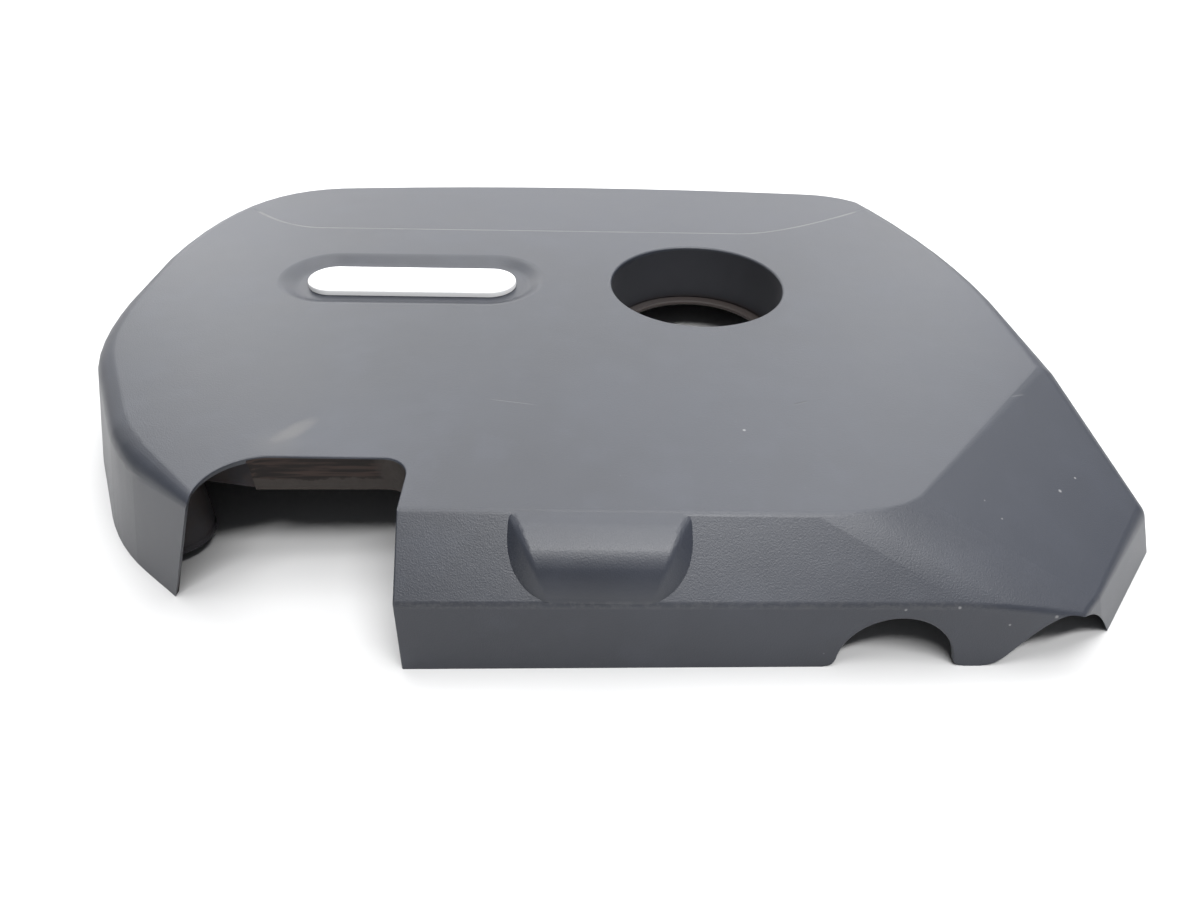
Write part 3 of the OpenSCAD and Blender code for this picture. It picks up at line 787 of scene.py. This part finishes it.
def make_cover_finish():
    """The outer face of the shell with its wear, painted shade inside the collar and a painted highlight
    along the low crease
    """
    f, tone, cloud, patch = cover_plastic("moulded_grey_plastic")
    x, y, z = f.axis("X"), f.axis("Y"), f.axis("Z")
    # Dull pale smudge on the left of the top, wiped to and fro
    across, back = x - SMUDGE_AT[0], y - SMUDGE_AT[1]
    run = across * SMUDGE_WAY[0] + back * SMUDGE_WAY[1]
    side = across * SMUDGE_WAY[1] - back * SMUDGE_WAY[0]
    wiped = f.noise(90.0, 4.0, 0.6)
    far = run * run / SMUDGE_HALF[0] ** 2 + side * side / SMUDGE_HALF[1] ** 2
    smudge = f.step(far + wiped * 1.2, 0.5, 1.7, 1.0, 0.0) * f.step(z, 0.05, 0.055)
    smudge = smudge + f.near(SMUDGE_FOOT, 0.016, 0.9) * 0.35
    tone = f.mix(smudge * 0.4, tone, grey(104, (1.02, 1.0, 0.97)))
    # One dark scratch, two pale ones, specks and dust
    nick = f.scratch(*NICK, 0.0006) * f.step(z, 0.03, 0.04)
    tone = f.mix(nick * 0.5, tone, grey(34))
    fine = f.scratch(*FINE_SCRATCH, 0.0005) + f.scratch(*FINEST_SCRATCH, 0.0003)
    marks = fine * f.step(z, 0.03, 0.04)
    tone = f.mix(marks * 0.3, tone, grey(110))
    dots = None
    for spot, radius in SPECKS:
        dot = f.near(spot, radius, 0.7)
        dots = dot if dots is None else dots + dot
    cells = f.node("ShaderNodeTexVoronoi", {"feature": "F1"}, Vector=f.at, Scale=170.0)
    chance = Amount(f, f.node("ShaderNodeSeparateColor", None, Color=cells.outputs["Color"]).outputs[0])
    dust = f.step(Amount(f, cells.outputs["Distance"]), 0.04, 0.09, 1.0, 0.0) * f.step(chance, 0.93, 0.95)
    zone = f.step(x, 0.08, 0.15) * f.step(y, -0.13, -0.09, 1.0, 0.0)
    tone = f.mix(dust * (zone * 0.35 + 0.04), tone, grey(170))
    tone = f.mix(dots * 0.45, tone, grey(165))
    # Pale line along the low crease of the front face: partly rubbed wear, partly a painted highlight
    low_crease = f.crease(SLOPES[0], AROUND[0], 0.0007)
    rubbed_and_highlight = low_crease * (0.4 + 0.6 * f.step(f.noise(500.0, 3.0, 0.6), 0.45, 0.6))
    tone = f.mix(rubbed_and_highlight * 0.3, tone, grey(92))
    # Painted shade darkening the inside of the collar, and brown grime low in it
    axis = (FILLER_AT[0] * MM, FILLER_AT[1] * MM, 0)
    bore_shade = f.near(axis, (FILLER_R + 1) * MM, 0.01, f.stretched((1, 1, 0)))
    bore_shade = bore_shade * f.step(z, 0.0545, 0.0562, 1.0, 0.0)
    tone = f.mix(bore_shade * 0.6, tone, (0.010, 0.009, 0.011, 1))
    low = f.near(COLLAR_FOOT_AT, 0.053, 0.1) * f.step(z, 0.0265, 0.0225)
    tone = f.mix(low * 0.7, tone, (0.030, 0.020, 0.015, 1))
    rough = 0.32 + 0.1 * cloud + 0.05 * patch + 0.12 * smudge + 0.3 * bore_shade
    grain = f.noise(1500.0, 2.0, 0.55)
    waves = f.noise(26.0, 2.0, 0.5)
    soft = f.bump(waves, 0.0009, 0.25)
    return f.feed(Base_Color=tone, Roughness=rough,
                  Normal=f.bump(grain - 0.5 * marks - nick, 0.00022, 0.35, soft))


def make_inside_finish():
    """The plastic inside the cover, dull with brown dust"""
    f, tone, cloud, patch = cover_plastic("dusty_inside", 0.25)
    dust = f.step(f.noise(60.0, 4.0, 0.6), 0.3, 0.75)
    tone = f.mix(0.35 + 0.5 * dust, tone, (0.034, 0.024, 0.020, 1))
    return f.feed(Base_Color=tone, Roughness=0.6 + 0.15 * cloud,
                  Normal=f.bump(f.noise(900.0, 2.0, 0.5) + patch, 0.0002, 0.4))


def make_flange_finish():
    """The face of the notch's flange: dark oil in level streaks above, dull brown dust below"""
    f = Finish("oily_flange", Specular_IOR_Level=0.22)
    x, z = f.axis("X"), f.axis("Z")
    wobble = f.noise(110.0, 3.0, 0.6)
    level = f.noise(700.0, 3.0, 0.6, f.stretched((0.05, 1, 1)))
    oily = (f.step(z + wobble * 0.006, 0.0503, 0.0513)
            * f.step(x + wobble * 0.012, -0.082, -0.076, 1.0, 0.0))
    dusty = f.mix(f.noise(260.0, 3.0, 0.6), (0.028, 0.023, 0.020, 1), (0.048, 0.040, 0.036, 1))
    brown = f.mix(f.step(level, 0.42, 0.62), (0.006, 0.0030, 0.0024, 1), (0.030, 0.017, 0.013, 1))
    return f.feed(Base_Color=f.mix(oily, dusty, brown), Roughness=0.62 - 0.25 * oily * level,
                  Normal=f.bump(level + wobble, 0.0003, 0.4))


def is_flange(face):
    """True for a face of the flange that shows in the notch"""
    at = face.center / MM
    left, right = X_L + NOTCH_X[0] - 9, X_L + NOTCH_X[1] + 6
    front, rear = Y_F + NOTCH_DEPTH - 19, Y_F + NOTCH_DEPTH + 2.5
    return (TOP_H - FLANGE_DEPTH - 2 < at.z < top_z(at.x) - WALL + 0.2 and front < at.y < rear
            and left < at.x < right and face.normal.y < 0.2)


def make_crease_highlight_finish():
    """The plastic along the crease of the rear band, made paler by a painted highlight"""
    f, tone, cloud, patch = cover_plastic("painted_crease_highlight")
    highlight_breakup = f.step(f.noise(120.0, 3.0, 0.6), 0.3, 0.6)
    tone = f.mix(0.55 + 0.35 * highlight_breakup, tone, grey(92))
    return f.feed(Base_Color=tone, Roughness=0.36 + 0.1 * cloud + 0.05 * patch)


def is_crease(face):
    """True for a face of the soft roll along the crease of the rear band"""
    at, n = face.center / MM, face.normal
    tilt = math.degrees(n.angle(TOP[0]))
    return (at.y > Y_B - BAND_Y - 6 and at.z > 50 and 2.5 < tilt < 25 and n.z > 0.9
            and depth_below(at, AROUND) > 14 and math.dist(at.xy, FILLER_AT) > FILLER_R + 3)


def is_inside(face):
    """True for a face of the shell that belongs to its hidden inner side"""
    at, n = face.center / MM, face.normal
    if n.z > 0.25 and at.z > 15 or math.dist(at.xy, FILLER_AT) < FILLER_R + 1.6:
        return False
    if abs(at.x - SWELL_X) < 45 and at.y < Y_F + CREASE_Y and at.z > 25:
        return n.z - n.y < -0.2
    return depth_below(at, UPPER + AROUND) > 0.75 * WALL


def make_badge_finish():
    """Satin bright field, a brighter border and a dark side that paints the shade of the gap round the
    plate
    """
    f = Finish("satin_bright_metal", Metallic=1.0, Specular_IOR_Level=0.5)
    brushed = f.noise(900.0, 3.0, 0.6, f.stretched((0.04, 1, 1)))
    cloud = f.noise(50.0, 2.0)
    tone = f.mix(f.step(brushed, 0.35, 0.65), (0.30, 0.31, 0.33, 1), (0.37, 0.38, 0.40, 1))
    deep = f.depth(TOP)
    tone = f.mix(f.step(deep, 0.00075, 0.00105), (0.78, 0.78, 0.79, 1), tone)
    # Painted shade: the plate's side is made dark for the shadowed gap round it
    tone = f.mix(f.step(deep, 0.00142, 0.00175), tone, (0.02, 0.02, 0.022, 1))
    return f.feed(Base_Color=tone, Roughness=0.24 + 0.1 * cloud + 0.08 * brushed,
                  Normal=f.bump(brushed, 0.00006, 0.3))


def make_rubber_finish():
    """Dull black rubber of the mounts"""
    f = Finish("black_rubber", Specular_IOR_Level=0.35)
    cloud = f.noise(160.0, 3.0, 0.6)
    tone = f.mix(f.step(cloud, 0.4, 0.7), (0.014, 0.014, 0.015, 1), (0.030, 0.029, 0.028, 1))
    return f.feed(Base_Color=tone, Roughness=0.62 + 0.2 * cloud,
                  Normal=f.bump(f.noise(900.0, 2.0), 0.0002, 0.4))


def make_floor_finish():
    """Plain pale table"""
    f = Finish("pale_table", Roughness=0.9, Specular_IOR_Level=0.2)
    return f.feed(Base_Color=f.mix(f.noise(3.0) * 0.3, (0.60, 0.60, 0.60, 1), (0.575, 0.575, 0.58, 1)))


# Camera, light and table
# The camera of the photo, solved from its table and outline, in metres
CAMERA_AT, CAMERA_PITCH, LENS, SENSOR = (0.009, -0.44496, 0.300), math.radians(37), 27.9, 36.0
# Soft lamps, all aimed at the cover: name, place, size and power
AIM = Vector((0, 0, 0.03))
LAMPS = (
    ("rear_window", (0, 1.6, 1.15), (2.4, 1.0), 13.8),
    ("rear_high", (0, 0.95, 1.65), (2.0, 1.0), 17.0),
    ("rear_top", (0, 0.42, 1.9), (1.6, 0.5), 12.0),
    ("rear_low", (0, 1.9, 0.55), (3.0, 0.9), 12.5),
    ("rear_left", (-1.25, 1.25, 1.1), (1.6, 1.0), 5.0),
    ("rear_right", (1.25, 1.25, 1.1), (1.6, 1.0), 4.0),
    ("right_high", (1.3, 0.45, 1.6), (1.4, 0.8), 7.0),
    ("left_low", (-1.45, 1.25, 0.4), (1.4, 0.6), 3.0),
    ("overhead", (0.1, -0.25, 1.95), (1.6, 0.6), 22.0),
    ("front_high", (0.35, -0.9, 1.75), (1.4, 0.18), 30.0))
ROOM_TONE, ROOM_STRENGTH, TABLE_SIZE = (0.92, 0.95, 1.0, 1), 0.2, 12


def set_the_scene():
    settle()
    bpy.ops.object.camera_add(location=CAMERA_AT, rotation=(math.radians(90) - CAMERA_PITCH, 0, 0))
    camera = bpy.context.active_object
    camera.data.lens = LENS
    camera.data.sensor_width = SENSOR
    camera.data.clip_start = 0.01
    bpy.context.scene.camera = camera
    for name, spot, size, power in LAMPS:
        bpy.ops.object.light_add(type="AREA", location=spot)
        lamp = bpy.context.active_object
        lamp.name = name
        lamp.data.shape = "RECTANGLE"
        lamp.data.size, lamp.data.size_y = size
        lamp.data.energy = power
        lamp.rotation_euler = (Vector(spot) - AIM).to_track_quat("Z", "Y").to_euler()
    world = bpy.data.worlds.new("soft_room")
    world.use_nodes = True
    room = world.node_tree.nodes["Background"]
    room.inputs["Color"].default_value = ROOM_TONE
    room.inputs["Strength"].default_value = ROOM_STRENGTH
    bpy.context.scene.world = world
    bpy.context.scene.view_settings.view_transform = "Standard"
    settle()
    bpy.ops.mesh.primitive_plane_add(size=TABLE_SIZE, location=(0, 0, 0))
    table = place(bpy.context.active_object, "table")
    table.data.materials.append(make_floor_finish())


# The pieces in their finishes
# Slots of the shell's finishes; the third paints a highlight along the rear band's crease
OUTSIDE, INSIDE, CREASE_HIGHLIGHT, FLANGE = range(4)
set_the_scene()
cover = make_shell()
cover.data.materials.clear()
for make_finish in (make_cover_finish, make_inside_finish, make_crease_highlight_finish, make_flange_finish):
    cover.data.materials.append(make_finish())
for face in cover.data.polygons:
    if is_flange(face):
        face.material_index = FLANGE
    elif is_crease(face):
        face.material_index = CREASE_HIGHLIGHT
    else:
        face.material_index = INSIDE if is_inside(face) else OUTSIDE
badge = make_badge()
badge.data.materials.append(make_badge_finish())
rubber = make_rubber_finish()
for name in ("grommet_front_left", "grommet_front_right", "grommet_rear_left", "grommet_rear_right"):
    for slot in bpy.data.objects[name].material_slots:
        slot.material = rubber

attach(cover, "root")
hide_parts("cover_shell")
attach(badge, "root")
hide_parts("badge_plate")
